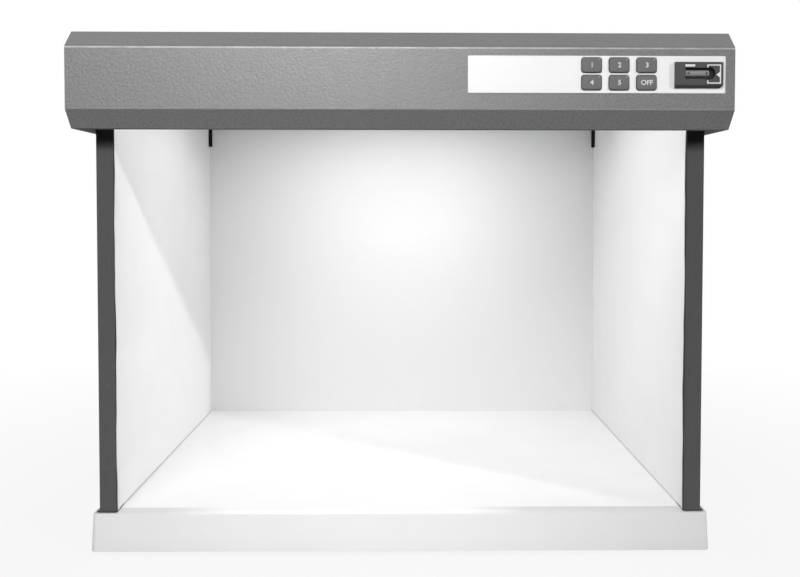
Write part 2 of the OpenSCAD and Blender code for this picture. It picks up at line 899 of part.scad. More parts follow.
module ballast_screws() {
    z = chassis_top + ear_t;
    color("lightgrey") placed() at_ballast_screws() {
        rod_z(pan_r, z - pan_len, z);
        rod_z(pan_head_r, z, z + pan_head_h);
    }
}

module terminal_block() {
    color("ivory") placed() translate([block_x - block_w/2, block_y, chassis_top]) difference() {
        cube([block_w, block_d, block_h]);
        for (k = [0:ways - 1]) translate([(k + 0.5)*block_w/ways, 0, 0]) {
            translate([0, block_d/2, 0]) rod_z(way_screw_r, block_h - way_screw_depth, block_h + cut);
            translate([0, 0, block_h/2]) rod_y(way_wire_r, block_d - way_wire_depth, block_d + cut);
        }
    }
}

module at_board_posts() {
    x = board_w/2 - board_post_in;
    y = board_d/2 - board_post_in;
    for (sx = [-1, 1], sy = [-1, 1])
        translate([board_x + sx*x, board_y + board_d/2 + sy*y, chassis_top]) children();
}

module relay_board() {
    color("darkgreen") placed() translate([board_x - board_w/2, board_y, chassis_top + post_h])
        cube([board_w, board_d, board_t]);
}

module relay_set() {
    color("royalblue") placed() for (k = [0:relays - 1])
        translate([board_x + (k - (relays - 1)/2)*relay_pitch - relay_w/2, board_y + (board_d - relay_d)/2,
            chassis_top + post_h + board_t]) cube([relay_w, relay_d, relay_h]);
}

module board_posts() {
    color("gold") placed() at_board_posts() cylinder(r = post_r, h = post_h);
}

module wiring_loom() {
    x0 = block_x + block_w/2;
    y1 = keypad_y + board_t;
    turn_y = y1 + loom_turn;
    x1 = key_mid_x + keypad_w/2 - loom_end_room;
    color("black") placed() {
        translate([x0 - 2*loom_r, loom_y, loom_z]) rod_x(loom_r, 0, loom_x - x0 + 2*loom_r);
        translate([x0 - 2*loom_r, loom_y, loom_z]) sphere(loom_r);
        translate([x0 - 2*loom_r, loom_y, loom_z]) rod_y(loom_r, 0, block_y - loom_y);
        translate([loom_x, loom_y, loom_z]) sphere(loom_r);
        translate([loom_x, turn_y, loom_z]) rod_y(loom_r, 0, loom_y - turn_y);
        translate([loom_x, turn_y, loom_z]) sphere(loom_r);
        translate([x1, turn_y, loom_z]) rod_x(loom_r, 0, loom_x - x1);
        translate([x1, turn_y, loom_z]) sphere(loom_r);
        translate([x1, y1, loom_z]) rod_y(loom_r, 0, turn_y - y1);
    }
}

// Controls

module control_plate() {
    color("white") placed() difference() {
        translate([plate_x, 0, plate_z]) along_y(-plate_t, 0) rounded_rect(plate_w, plate_h, plate_corner);
        key_openings(-plate_t - cut, cut);
        meter_opening(-plate_t - cut, cut);
    }
}

module keypad_board() {
    color("darkgreen") placed() translate([key_mid_x, 0, key_mid_z]) along_y(keypad_y, keypad_y + board_t)
        square([keypad_w, keypad_h], center = true);
}

module keypad_posts() {
    color("gold") placed() for (sx = [-1, 1], sz = [-1, 1])
        translate([key_mid_x + sx*(keypad_w/2 - post_inset), 0, key_mid_z + sz*(keypad_h/2 - post_inset)])
            rod_y(post_r, sheet_t, keypad_y);
}

module key_switches() {
    color("black") placed() at_keys() difference() {
        along_y(switch_y, keypad_y) square(switch_w, center = true);
        rod_y(stem_r + turn_play, switch_y - cut, keypad_y - switch_floor);
    }
}

module key() {
    back = key_flange_y + key_flange_t;
    along_y(key_front + key_edge, key_flange_y) rounded_rect(key_w, key_h, key_corner);
    along_y(key_front, key_front + key_edge)
        rounded_rect(key_w - 2*key_edge, key_h - 2*key_edge, key_corner - key_edge);
    along_y(key_flange_y, back)
        rounded_rect(key_w + 2*key_lip_x, key_h + 2*key_lip_z, key_corner);
    rod_y(stem_r, back, switch_y + stem_in);
}

module key_day() {
    color("grey") placed() at_key(-1, 0) key();
}

module key_cool_white() {
    color("grey") placed() at_key(0, 0) key();
}

module key_store() {
    color("grey") placed() at_key(1, 0) key();
}

module key_incandescent() {
    color("grey") placed() at_key(-1, 1) key();
}

module key_uv() {
    color("grey") placed() at_key(0, 1) key();
}

module key_off() {
    color("grey") placed() at_key(1, 1) key();
}

// Hour meter

module meter_bezel() {
    hw = meter_w/2;
    hh = meter_h/2;
    side = [[-plate_t, -hh], [-plate_t, hh], [meter_front + meter_edge, hh],
        [meter_front, hh - meter_edge], [meter_front, meter_chamfer - hh],
        [meter_front + meter_bottom, -hh]];
    front = [[-hw, -hh], [hw - meter_corner, -hh], [hw, meter_corner - hh], [hw, hh], [-hw, hh]];
    color("dimgrey") placed() translate([meter_x, 0, meter_z]) difference() {
        union() {
            intersection() {
                along_x(-hw, hw) polygon(side);
                along_y(meter_front, -plate_t) polygon(front);
            }
            along_y(-plate_t, meter_depth) square([meter_body_w, meter_body_h], center = true);
        }
        translate([meter_window_x, 0, meter_window_z])
            along_y(meter_front - cut, meter_front + meter_window_d) {
                translate([0, -meter_window_h/2]) square([meter_window_w, meter_window_h]);
                translate([meter_window_w, 0]) circle(meter_window_end);
            }
    }
}

module at_meter_window() {
    translate([meter_x + meter_window_x, meter_front + meter_window_d, meter_z + meter_window_z])
        children();
}

module meter_scale() {
    color("silver") placed() at_meter_window() along_y(-scale_t, 0)
        translate([gap, -scale_h/2]) square([meter_window_w, scale_h]);
}

module meter_vial() {
    color("lightgrey") placed() at_meter_window() translate([0, -scale_t - vial_r, 0])
        rod_x(vial_r, gap, meter_window_w);
}

module meter_clip() {
    color("silver") placed() translate([meter_x, 0, meter_z]) along_y(sheet_t, sheet_t + clip_t)
        difference() {
            square([meter_body_w + 2*clip_rim, meter_body_h + 2*clip_rim], center = true);
            square([meter_body_w + gap, meter_body_h + gap], center = true);
        }
}

// Inlet and fuse

module at_inlet_screws() {
    for (s = [-1, 1]) translate([inlet_x + s*(inlet_w/2 - inlet_screw_in), 0, inlet_z]) children();
}

module power_inlet() {
    front = rear_y1 + inlet_flange_t;
    w = socket_w/2;
    h = socket_h/2;
    c = socket_corner;
    color("black") placed() difference() {
        translate([inlet_x, 0, inlet_z]) {
            along_y(rear_y1, front) rounded_rect(inlet_w, inlet_h, inlet_corner);
            along_y(front - inlet_depth, rear_y1) square([inlet_body_w, inlet_body_h], center = true);
        }
        translate([inlet_x, 0, inlet_z]) along_y(front - socket_depth, front + cut)
            polygon([[-w, -h], [w, -h], [w, h - c], [w - c, h], [c - w, h], [-w, h - c]]);
        at_inlet_screws() rod_y(pan_r + bolt_play, rear_y1 - cut, front + cut);
    }
}

module inlet_pins() {
    color("gold") placed() for (k = [-1, 0, 1])
        translate([inlet_x + k*inlet_pitch - blade_w/2, rear_y1 + inlet_flange_t - socket_depth,
            inlet_z - blade_h/2 - abs(k)*inlet_drop_pin]) cube([blade_w, blade_len, blade_h]);
}

module inlet_screws() {
    y = rear_y1 + inlet_flange_t;
    color("lightgrey") placed() at_inlet_screws() {
        rod_y(pan_r, y - pan_len, y);
        rod_y(pan_head_r, y, y + inlet_head_h);
    }
}

module fuse_holder() {
    color("black") placed() translate([fuse_x, 0, inlet_z]) difference() {
        union() {
            rod_y(fuse_r, rear_y1 - fuse_len, rear_y1);
            rod_y(fuse_flange_r, rear_y1, rear_y1 + fuse_flange_t);
        }
        rod_y(fuse_bore, rear_y1 - fuse_len + fuse_floor, rear_y1 + fuse_flange_t + cut);
    }
}

module fuse_cap() {
    y0 = rear_y1 + fuse_flange_t + gap;
    color("dimgrey") placed() translate([fuse_x, 0, inlet_z]) difference() {
        union() {
            rod_y(fuse_flange_r - fuse_cap_rim, y0, y0 + fuse_cap_t);
            rod_y(fuse_bore - turn_play, y0 - fuse_cap_len, y0);
        }
        translate([-fuse_flange_r, y0 + fuse_cap_t - fuse_slot, -fuse_slot/2])
            cube([2*fuse_flange_r, fuse_slot + cut, fuse_slot]);
    }
}

base_pan();
base_bottom_plate();
base_feet();
foot_screws();
left_side_panel();
right_side_panel();
back_panel();
panel_bolts();
back_panel_screws();
left_edge_channel();
right_edge_channel();
panel_shoes();
rear_corner_angles();
hood_cover();
hood_left_end();
hood_right_end();
hood_rear_cover();
hood_screws();
lamp_chassis();
chassis_bolts();
reflector();
holder_rails();
tube_holders();
day_tubes();
cool_white_tubes();
store_tubes();
uv_tube();
tube_caps();
bulb_sockets();
bulb_bases();
bulbs_frosted();
ballast_cases();
ballast_cores();
ballast_screws();
terminal_block();
relay_board();
relay_set();
board_posts();
wiring_loom();
control_plate();
keypad_board();
keypad_posts();
key_switches();
key_day();
key_cool_white();
key_store();
key_incandescent();
key_uv();
key_off();
meter_bezel();
meter_scale();
meter_vial();
meter_clip();
power_inlet();
inlet_pins();
inlet_screws();
fuse_holder();
fuse_cap();
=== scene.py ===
import math

import bmesh
import bpy
from mathutils import Matrix, Quaternion, Vector


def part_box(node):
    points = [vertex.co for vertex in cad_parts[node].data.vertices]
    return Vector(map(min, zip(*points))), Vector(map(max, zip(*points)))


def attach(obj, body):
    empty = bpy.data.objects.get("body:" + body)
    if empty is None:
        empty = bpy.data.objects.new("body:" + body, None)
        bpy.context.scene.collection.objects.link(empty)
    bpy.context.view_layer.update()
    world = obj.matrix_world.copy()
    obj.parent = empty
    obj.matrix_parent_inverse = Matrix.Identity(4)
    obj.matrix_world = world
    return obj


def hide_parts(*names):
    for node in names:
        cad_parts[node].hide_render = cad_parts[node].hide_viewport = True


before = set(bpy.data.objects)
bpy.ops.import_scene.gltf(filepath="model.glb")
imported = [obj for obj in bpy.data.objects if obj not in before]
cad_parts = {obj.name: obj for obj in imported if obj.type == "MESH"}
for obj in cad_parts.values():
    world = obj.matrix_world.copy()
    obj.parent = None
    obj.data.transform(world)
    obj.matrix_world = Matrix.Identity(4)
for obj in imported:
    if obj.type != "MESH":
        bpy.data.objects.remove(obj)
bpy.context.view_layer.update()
scene = bpy.context.scene
scene.view_settings.view_transform = "Standard"

MM = 0.001
TINY = 1e-6
BOOTH = "booth"

# Camera: fitted to the booth's edges, in pixels of the photograph and metres of the frame
IMAGE = (800, 577)
FOCAL_PX = 873.41
PRINCIPAL_PX = (414.2, 233.9)
SENSOR = 36.0
EYE = Vector((0.0030, -1.1613, 0.3792))
YAW = 0.0116
PITCH = 0.0318
ROLL = 0.001


def add_camera():
    data = bpy.data.cameras.new("camera")
    data.sensor_width = SENSOR
    data.lens = FOCAL_PX / IMAGE[0] * SENSOR
    data.shift_x = 0.5 - PRINCIPAL_PX[0] / IMAGE[0]
    data.shift_y = (PRINCIPAL_PX[1] - IMAGE[1] / 2) / IMAGE[0]
    camera = bpy.data.objects.new("camera", data)
    look = Vector((math.sin(YAW) * math.cos(PITCH), math.cos(YAW) * math.cos(PITCH), -math.sin(PITCH)))
    camera.location = EYE
    camera.rotation_mode = "QUATERNION"
    camera.rotation_quaternion = look.to_track_quat("-Z", "Y") @ Quaternion((0, 0, 1), ROLL)
    scene.collection.objects.link(camera)
    scene.camera = camera


# Light levels: about how bright each light alone makes a white surface at the point it is aimed at
LEVELS = dict(key=0.3, card=0.38, softbox=0.57, low=0.045, left=0.34, right=0.16, rear=0.44, ambient=0.18,
              lamps_full=0.15, lamps_rear=0.085, lamps_front=0.225, lamps_wash=0.09, tubes=0.8)
# Light from the lamp rows: share of the tubes' length, start and end as shares of the rows' depth,
# spread in degrees, and how many degrees it leans to the back wall
LAMPS = dict(lamps_full=(1.0, 0.0, 1.0, 180, 0), lamps_rear=(0.55, 0.85, 1.05, 180, 0),
             lamps_front=(1.0, 0.0, 0.3, 180, 0), lamps_wash=(0.55, 0.3, 0.5, 90, 62))
# Panel lights: place, the point that it is aimed at, and size
FACE_POINT = (-0.1, -0.26, 0.5)
PANELS = dict(card=((-0.12, -1.6, 0.92), FACE_POINT, (0.5, 0.5)),
              softbox=((-0.5, -1.9, 1.5), FACE_POINT, (1.0, 1.0)),
              low=((0.0, -0.85, 0.3), (-0.02, -0.24, 0.02), (0.3, 0.2)),
              left=((-1.5, 0.45, 0.9), (-0.33, 0.0, 0.3), (1.0, 1.0)),
              right=((1.5, 0.45, 0.9), (0.33, 0.0, 0.3), (1.0, 1.0)),
              rear=((0.3, 1.8, 1.1), (0.0, 0.26, 0.3), (1.2, 1.0)))
LOW_SPREAD_DEG = 75
KEY_TRAVEL = Vector((-1.34, 1.0, -0.68))
KEY_SOFT_DEG = 2.5
WATTS_PER_LEVEL = 4 * math.pi


def add_light(name, kind):
    data = bpy.data.lights.new(name, kind)
    light = bpy.data.objects.new(name, data)
    light.rotation_mode = "QUATERNION"
    light.visible_camera = False
    scene.collection.objects.link(light)
    return light


def add_panel_light(name, place, aim, size):
    """A rectangular light whose power gives its level at the point it is aimed at."""
    light = add_light(name, "AREA")
    travel = Vector(aim) - Vector(place)
    light.location = place
    light.rotation_quaternion = travel.to_track_quat("-Z", "Y")
    light.data.shape = "RECTANGLE"
    light.data.size, light.data.size_y = size
    light.data.energy = LEVELS[name] * WATTS_PER_LEVEL * travel.length_squared
    return light


def add_lights():
    key = add_light("key", "SUN")
    key.rotation_quaternion = KEY_TRAVEL.to_track_quat("-Z", "Y")
    key.data.energy = LEVELS["key"] * math.pi
    key.data.angle = math.radians(KEY_SOFT_DEG)
    panels = {name: add_panel_light(name, *panel) for name, panel in PANELS.items()}
    panels["card"].visible_diffuse = False
    panels["low"].data.spread = math.radians(LOW_SPREAD_DEG)
    low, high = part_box("day_tubes")
    lamp_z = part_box("left_side_panel")[1].z - MM
    for name, (wide, start, end, spread, lean) in LAMPS.items():
        middle = Vector((0, low.y + (high.y - low.y) * (start + end) / 2, lamp_z))
        size = ((high.x - low.x) * wide, (high.y - low.y) * (end - start))
        beam = Vector((0, math.sin(math.radians(lean)), -math.cos(math.radians(lean))))
        lamp = add_panel_light(name, middle, middle + lamp_z * beam, size)
        lamp.data.spread = math.radians(spread)


def add_world():
    world = bpy.data.worlds.new("studio")
    scene.world = world
    world.use_nodes = True
    nodes, links = world.node_tree.nodes, world.node_tree.links
    background = next(n for n in nodes if n.type == "BACKGROUND")
    background.inputs["Color"].default_value = (1, 1, 1, 1)
    links.new(seen_or(world.node_tree, LEVELS["ambient"]), background.inputs["Strength"])


def seen_or(tree, other):
    """A socket that is 1 for rays that show a background, and other for rays that light the object."""
    path = tree.nodes.new("ShaderNodeLightPath")
    seen = path.outputs["Is Camera Ray"]
    for name in ("Is Glossy Ray", "Is Transmission Ray"):
        join = tree.nodes.new("ShaderNodeMath")
        join.operation = "MAXIMUM"
        tree.links.new(seen, join.inputs[0])
        tree.links.new(path.outputs[name], join.inputs[1])
        seen = join.outputs[0]
    spread = tree.nodes.new("ShaderNodeMapRange")
    spread.inputs["To Min"].default_value = other
    tree.links.new(seen, spread.inputs["Value"])
    return spread.outputs["Result"]


FLOOR_SIZE = 12.0
FLOOR_COLOUR = (0.4, 0.4, 0.4, 1)
FLOOR_NEAR, FLOOR_FAR = 0.45, 1.2
FLOOR_GLOW = 0.88


def add_floor():
    """A pale floor that shows near white to the camera, and keeps the object's shadow."""
    mesh = bpy.data.meshes.new("floor")
    half = FLOOR_SIZE / 2
    corners = [(sx * half, sy * half, 0) for sx, sy in ((-1, -1), (1, -1), (1, 1), (-1, 1))]
    mesh.from_pydata(corners, [], [(0, 1, 2, 3)])
    floor = bpy.data.objects.new("floor", mesh)
    scene.collection.objects.link(floor)
    material = bpy.data.materials.new("floor_white")
    material.use_nodes = True
    tree = material.node_tree
    tree.nodes.clear()
    diffuse = tree.nodes.new("ShaderNodeBsdfDiffuse")
    diffuse.inputs["Color"].default_value = FLOOR_COLOUR
    glow = tree.nodes.new("ShaderNodeEmission")
    mix = tree.nodes.new("ShaderNodeMixShader")
    place = tree.nodes.new("ShaderNodeTexCoord")
    away = tree.nodes.new("ShaderNodeVectorMath")
    away.operation = "LENGTH"
    tree.links.new(place.outputs["Object"], away.inputs[0])
    fade = tree.nodes.new("ShaderNodeMapRange")
    fade.inputs["From Min"].default_value = FLOOR_NEAR
    fade.inputs["From Max"].default_value = FLOOR_FAR
    fade.inputs["To Min"].default_value = FLOOR_GLOW
    tree.links.new(away.outputs["Value"], fade.inputs["Value"])
    share = tree.nodes.new("ShaderNodeMath")
    share.operation = "MULTIPLY"
    tree.links.new(seen_or(tree, 0.0), share.inputs[0])
    tree.links.new(fade.outputs["Result"], share.inputs[1])
    tree.links.new(share.outputs[0], mix.inputs["Fac"])
    tree.links.new(diffuse.outputs[0], mix.inputs[1])
    tree.links.new(glow.outputs[0], mix.inputs[2])
    output = tree.nodes.new("ShaderNodeOutputMaterial")
    tree.links.new(mix.outputs[0], output.inputs["Surface"])
    mesh.materials.append(material)


# Materials

NOISE_RANGE = (0.3, 0.7)
CELL_SMOOTHNESS = 0.6
BEVEL_SAMPLES = 4
UNDERSIDE = (-0.9, -0.97)
BAND_CORE = 0.3


class Shader:
    """One material's node tree, with a short call for each kind of node. Lengths are metres."""

    def __init__(self, name):
        self.material = bpy.data.materials.new(name)
        self.material.use_nodes = True
        self.tree = self.material.node_tree
        self.surface = next(n for n in self.tree.nodes if n.type == "BSDF_PRINCIPLED")
        self.place = self.tree.nodes.new("ShaderNodeTexCoord").outputs["Object"]

    def feed(self, socket, value):
        if isinstance(value, bpy.types.NodeSocket):
            self.tree.links.new(value, socket)
        else:
            socket.default_value = value

    def set(self, **values):
        for name, value in values.items():
            self.feed(self.surface.inputs[name.replace("_", " ")], value)

    def stretched(self, stretch):
        mapping = self.tree.nodes.new("ShaderNodeMapping")
        mapping.inputs["Scale"].default_value = stretch
        self.tree.links.new(self.place, mapping.inputs["Vector"])
        return mapping.outputs["Vector"]

    def noise(self, grain, detail=3.0, stretch=None):
        """Cloudy values from 0 to 1, with patches about as wide as grain."""
        node = self.tree.nodes.new("ShaderNodeTexNoise")
        node.inputs["Scale"].default_value = 1 / grain
        node.inputs["Detail"].default_value = detail
        self.tree.links.new(self.stretched(stretch) if stretch else self.place, node.inputs["Vector"])
        return node.outputs["Fac"]

    def cells(self, grain):
        """Distance to the middle of soft round cells about as wide as grain."""
        node = self.tree.nodes.new("ShaderNodeTexVoronoi")
        node.feature = "SMOOTH_F1"
        node.inputs["Scale"].default_value = 1 / grain
        node.inputs["Smoothness"].default_value = CELL_SMOOTHNESS
        self.tree.links.new(self.place, node.inputs["Vector"])
        return node.outputs["Distance"]

    def axis(self, name):
        """One coordinate of the surface in the part's frame."""
        node = self.tree.nodes.new("ShaderNodeSeparateXYZ")
        self.tree.links.new(self.place, node.inputs[0])
        return node.outputs[name]

    def math(self, operation, a, b=0.0):
        node = self.tree.nodes.new("ShaderNodeMath")
        node.operation = operation
        self.feed(node.inputs[0], a)
        self.feed(node.inputs[1], b)
        return node.outputs[0]

    def remap(self, value, low, high, to_low=0.0, to_high=1.0):
        node = self.tree.nodes.new("ShaderNodeMapRange")
        self.feed(node.inputs["Value"], value)
        node.inputs["From Min"].default_value = low
        node.inputs["From Max"].default_value = high
        node.inputs["To Min"].default_value = to_low
        node.inputs["To Max"].default_value = to_high
        return node.outputs["Result"]

    def times(self, a, b):
        return self.math("MULTIPLY", a, b)

    def away(self, axis, place=0.0):
        """How far the surface lies from that place along an axis."""
        return self.math("ABSOLUTE", self.math("SUBTRACT", self.axis(axis), place))

    def vary(self, cloud, low, high):
        """Spreads the usual range of a noise from low to high."""
        return self.remap(cloud, *NOISE_RANGE, low, high)

    def mix(self, share, a, b):
        node = self.tree.nodes.new("ShaderNodeMix")
        node.data_type = "RGBA"
        self.feed(node.inputs["Factor"], share)
        self.feed(node.inputs[6], a)
        self.feed(node.inputs[7], b)
        return node.outputs[2]

    def rise(self):
        """How far the surface faces up: 1 on tops, 0 on walls, -1 on undersides."""
        geometry = self.tree.nodes.new("ShaderNodeNewGeometry")
        split = self.tree.nodes.new("ShaderNodeSeparateXYZ")
        self.tree.links.new(geometry.outputs["True Normal"], split.inputs[0])
        return split.outputs["Z"]

    def facing_down(self):
        """1 on undersides, 0 elsewhere."""
        return self.remap(self.rise(), *UNDERSIDE)

    def rounded_normal(self, radius):
        node = self.tree.nodes.new("ShaderNodeBevel")
        node.samples = BEVEL_SAMPLES
        node.inputs["Radius"].default_value = radius
        return node.outputs["Normal"]

    def band(self, axis, place, reach):
        """1 where the coordinate is at that place, fading to 0 at that reach on both sides."""
        return self.remap(self.away(axis, place), reach, BAND_CORE * reach)

    def bump(self, height, depth, strength=1.0, normal=None):
        node = self.tree.nodes.new("ShaderNodeBump")
        node.inputs["Distance"].default_value = depth
        node.inputs["Strength"].default_value = strength
        self.tree.links.new(height, node.inputs["Height"])
        if normal is not None:
            self.tree.links.new(normal, node.inputs["Normal"])
        self.tree.links.new(node.outputs["Normal"], self.surface.inputs["Normal"])


def grey(level):
    return (level, level, level, 1)


def tint(colour, gain):
    return tuple(min(1.0, c * gain) for c in colour[:3]) + (1,)


def basic(name, colour, rough, vary=0.05, patch=0.03, grain=0.0012, depth=0.00003, stretch=None,
          edge=0.0004, **sockets):
    """A surface with cloudy colour, a fine grain in its bump and gloss, and slightly rounded edges."""
    shader = Shader(name)
    cloud = shader.noise(patch)
    fine = shader.noise(grain, 2.0, stretch)
    mottle = shader.mix(cloud, tint(colour, 1 - vary), tint(colour, 1 + vary))
    flecks = shader.vary(fine, 0.0, 0.35)
    shader.set(Base_Color=shader.mix(flecks, mottle, tint(colour, 1 - 2 * vary)))
    shader.set(Roughness=shader.remap(shader.math("ADD", cloud, fine), 0.6, 1.4, rough - 0.06, rough + 0.06))
    shader.bump(fine, depth, 0.6, shader.rounded_normal(edge))
    shader.set(**sockets)
    return shader


FACE_H = 64.0 * MM
BEVEL_H = 18.5 * MM


def hood_paint():
    """Grey pebble enamel: soft dimples a few millimetres wide, with painted shade in the pits, a painted
    highlight along the two front bends, a thin line of painted shade above the upper bend and painted shade
    on the undersides.
    """
    shader = Shader("hood_paint")
    base = grey(0.174)
    dimple = shader.cells(3.2 * MM)
    lumps = shader.noise(1.7 * MM, 2.0, (0.75, 1.0, 1.0))
    cloud = shader.noise(60 * MM, 2.0)
    height = shader.math("ADD", shader.times(dimple, 0.6), lumps)
    tone = shader.mix(cloud, tint(base, 0.95), tint(base, 1.05))
    # Painted shade in the pits: the low parts of the lumps are coloured darker.
    pits = shader.mix(shader.remap(lumps, 0.58, 0.36, 0.0, 0.55), tone, tint(base, 0.6))
    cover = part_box("hood_cover")[0]
    low_bend = cover.z + BEVEL_H
    top_bend = low_bend + FACE_H
    # Painted highlight: a paler, patchy band along the two front bends stands in for the light that the
    # bends catch.
    patchy = shader.remap(shader.noise(14 * MM), 0.3, 0.6, 0.5, 1.0)
    low_bend_highlight = shader.times(shader.band("Z", low_bend + 0.6 * MM, 0.9 * MM), 0.25)
    bend_highlight = shader.math("MAXIMUM", shader.band("Z", top_bend - 1.0 * MM, 1.2 * MM), low_bend_highlight)
    front = shader.band("Y", cover.y, 6 * MM)
    painted_highlight = shader.times(shader.times(bend_highlight, patchy), front)
    highlighted = shader.mix(painted_highlight, pits, tint(base, 2.6))
    # A thin line of painted shade just above the upper bend, on the front only.
    painted_shade = shader.times(shader.band("Z", top_bend + 1.0 * MM, 1.0 * MM), 0.6)
    shaded = shader.mix(shader.times(painted_shade, front), highlighted, tint(base, 0.72))
    # Painted shade: undersides are coloured much darker. They are also made rougher.
    under = shader.facing_down()
    shader.set(Base_Color=shader.mix(under, shaded, tint(base, 0.3)))
    gloss = shader.vary(lumps, 0.36, 0.5)
    shader.set(Roughness=shader.math("MAXIMUM", gloss, under))
    shader.set(Specular_IOR_Level=0.6)
    shader.bump(height, 0.45 * MM, 0.36, shader.rounded_normal(0.5 * MM))
    return shader.material


def cabinet_paint():
    """Matte off-white paint on board, rolled on, with a faint stipple; the back panel is painted a shade
    darker as painted shade.
    """
    shader = Shader("cabinet_paint")
    base = grey(0.75)
    stipple = shader.noise(1.6 * MM, 2.0)
    cloud = shader.noise(45 * MM, 4.0)
    tone = shader.mix(cloud, tint(base, 0.955), tint(base, 1.03))
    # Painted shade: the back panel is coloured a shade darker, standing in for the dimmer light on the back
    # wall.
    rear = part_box("back_panel")[0].y
    board = shader.mix(shader.remap(shader.axis("Y"), rear - MM, rear), tone, tint(base, 0.88))
    shader.set(Base_Color=shader.mix(shader.remap(stipple, 0.35, 0.2, 0.0, 0.5), board, tint(base, 0.85)))
    shader.set(Roughness=shader.vary(cloud, 0.7, 0.85))
    shader.bump(stipple, 0.08 * MM, 0.5, shader.rounded_normal(0.6 * MM))
    return shader.material


DARKER_LOW_Z = (20 * MM, 2 * MM)
# Painted shade on the front rim: its depth, the middle it fades from, and the distances over which it comes
# in.
RIM_D = 16 * MM
RIM_X = -60 * MM
RIM_FADE = (130 * MM, 200 * MM)


def base_paint():
    """Pale grey paint on the pressed pan, darker low on the skirt, with painted shade on the top of the
    front rim near its ends.
    """
    shader = Shader("base_paint")
    base = grey(0.76)
    peel = shader.noise(2.2 * MM, 2.0)
    cloud = shader.noise(50 * MM, 3.0)
    tone = shader.mix(cloud, tint(base, 0.96), tint(base, 1.02))
    # Darker towards the bottom of the skirt.
    low = shader.times(shader.remap(shader.axis("Z"), *DARKER_LOW_Z), shader.vary(cloud, 0.1, 0.5))
    skirt = shader.mix(low, tone, tint(base, 0.86))
    # Painted shade: the top of the front rim is coloured darker near its ends, so that it looks as dim as
    # the front face below it.
    rim_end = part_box("base_pan")[0].y + RIM_D
    before_deck = shader.remap(shader.axis("Y"), rim_end, rim_end - MM)
    rim = shader.times(before_deck, shader.remap(shader.rise(), 0.1, 0.6))
    ends = shader.remap(shader.away("X", RIM_X), *RIM_FADE)
    shader.set(Base_Color=shader.mix(shader.times(rim, ends), skirt, tint(base, 0.76)))
    shader.set(Roughness=shader.vary(peel, 0.52, 0.66), Specular_IOR_Level=0.25)
    shader.bump(peel, 0.08 * MM, 0.5)
    return shader.material


# Painted shadow of the hood on the channels: full from this far below the hood, gone at this reach.
HOOD_SHADE_FULL = 10 * MM
HOOD_SHADE_REACH = 22 * MM


def channel_grey():
    """Dark grey trim, drawn lengthwise, with pale scuffs, and painted shade on its inner side and painted
    shadow just under the hood.
    """
    shader = Shader("channel_grey")
    base = grey(0.09)
    draw = shader.noise(1.2 * MM, 2.0, (1.0, 1.0, 0.04))
    scuff = shader.remap(shader.noise(7 * MM, 5.0), 0.68, 0.78, 0.0, 0.35)
    tone = shader.mix(draw, tint(base, 0.9), tint(base, 1.12))
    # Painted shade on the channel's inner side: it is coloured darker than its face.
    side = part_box("right_edge_channel")[0].x
    inner = shader.remap(shader.away("X"), side + 0.5 * MM, side + 0.1 * MM)
    scuffed_and_shaded = shader.mix(inner, shader.mix(scuff, tone, tint(base, 1.9)), tint(base, 0.4))
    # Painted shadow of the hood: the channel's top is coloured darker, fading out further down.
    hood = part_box("hood_cover")[0].z
    painted_shade = shader.remap(shader.axis("Z"), hood - HOOD_SHADE_REACH, hood - HOOD_SHADE_FULL)
    shader.set(Base_Color=shader.mix(painted_shade, scuffed_and_shaded, tint(base, 0.15)))
    shader.set(Roughness=shader.vary(draw, 0.58, 0.72))
    shader.set(Specular_IOR_Level=0.04)
    shader.bump(draw, 0.04 * MM, 0.5, shader.rounded_normal(0.4 * MM))
    return shader.material


def shoe_grey():
    """Trim under the side panels: dark below the front channel, paler along the seam inside."""
    shader = Shader("shoe_grey")
    scuff = shader.noise(4 * MM, 3.0)
    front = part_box("panel_shoes")[0].y
    inside = shader.remap(shader.axis("Y"), front + 8 * MM, front + 30 * MM)
    dark = shader.mix(scuff, grey(0.025), grey(0.045))
    pale = shader.mix(scuff, grey(0.45), grey(0.55))
    shader.set(Base_Color=shader.mix(inside, dark, pale), Specular_IOR_Level=0.25)
    shader.set(Roughness=shader.vary(scuff, 0.55, 0.7))
    shader.bump(scuff, 0.05 * MM, 0.4)
    return shader.material


def meter_plastic():
    """Dark moulding with a fine matte grain, with painted shade that makes it blacker in its slot and round
    its sides than on its face.
    """
    shader = Shader("meter_plastic")
    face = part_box("meter_bezel")[0].y
    grain = shader.noise(0.6 * MM, 2.0)
    cloud = shader.noise(6 * MM)
    tone = shader.mix(cloud, grey(0.044), grey(0.052))
    # Painted shade: everything behind the face, in the slot and round the sides, is coloured darker.
    deep = shader.remap(shader.axis("Y"), face + 0.4 * MM, face + 1.6 * MM)
    shader.set(Base_Color=shader.mix(deep, tone, grey(0.012)))
    shader.set(Roughness=shader.vary(grain, 0.45, 0.6), Specular_IOR_Level=0.35)
    shader.bump(grain, 0.03 * MM, 0.5, shader.rounded_normal(0.4 * MM))
    return shader.material


BROWNED_END = 45 * MM
BROWNED = (0.42, 0.37, 0.33, 1)


def phosphor(name, colour, glow):
    """A fluorescent tube: powdery white, browned by the electrodes close to its ends."""
    shader = Shader(name)
    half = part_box("day_tubes")[1].x
    end = shader.remap(shader.away("X"), half - BROWNED_END, half)
    powder = shader.noise(1.5 * MM, 2.0)
    tone = shader.mix(powder, tint(colour, 0.97), colour)
    browned = shader.mix(shader.math("POWER", end, 3.0), tone, BROWNED)
    shader.set(Base_Color=browned, Roughness=0.18, Emission_Strength=glow)
    shader.set(Emission_Color=browned)
    shader.bump(powder, 0.01 * MM, 0.3)
    return shader.material


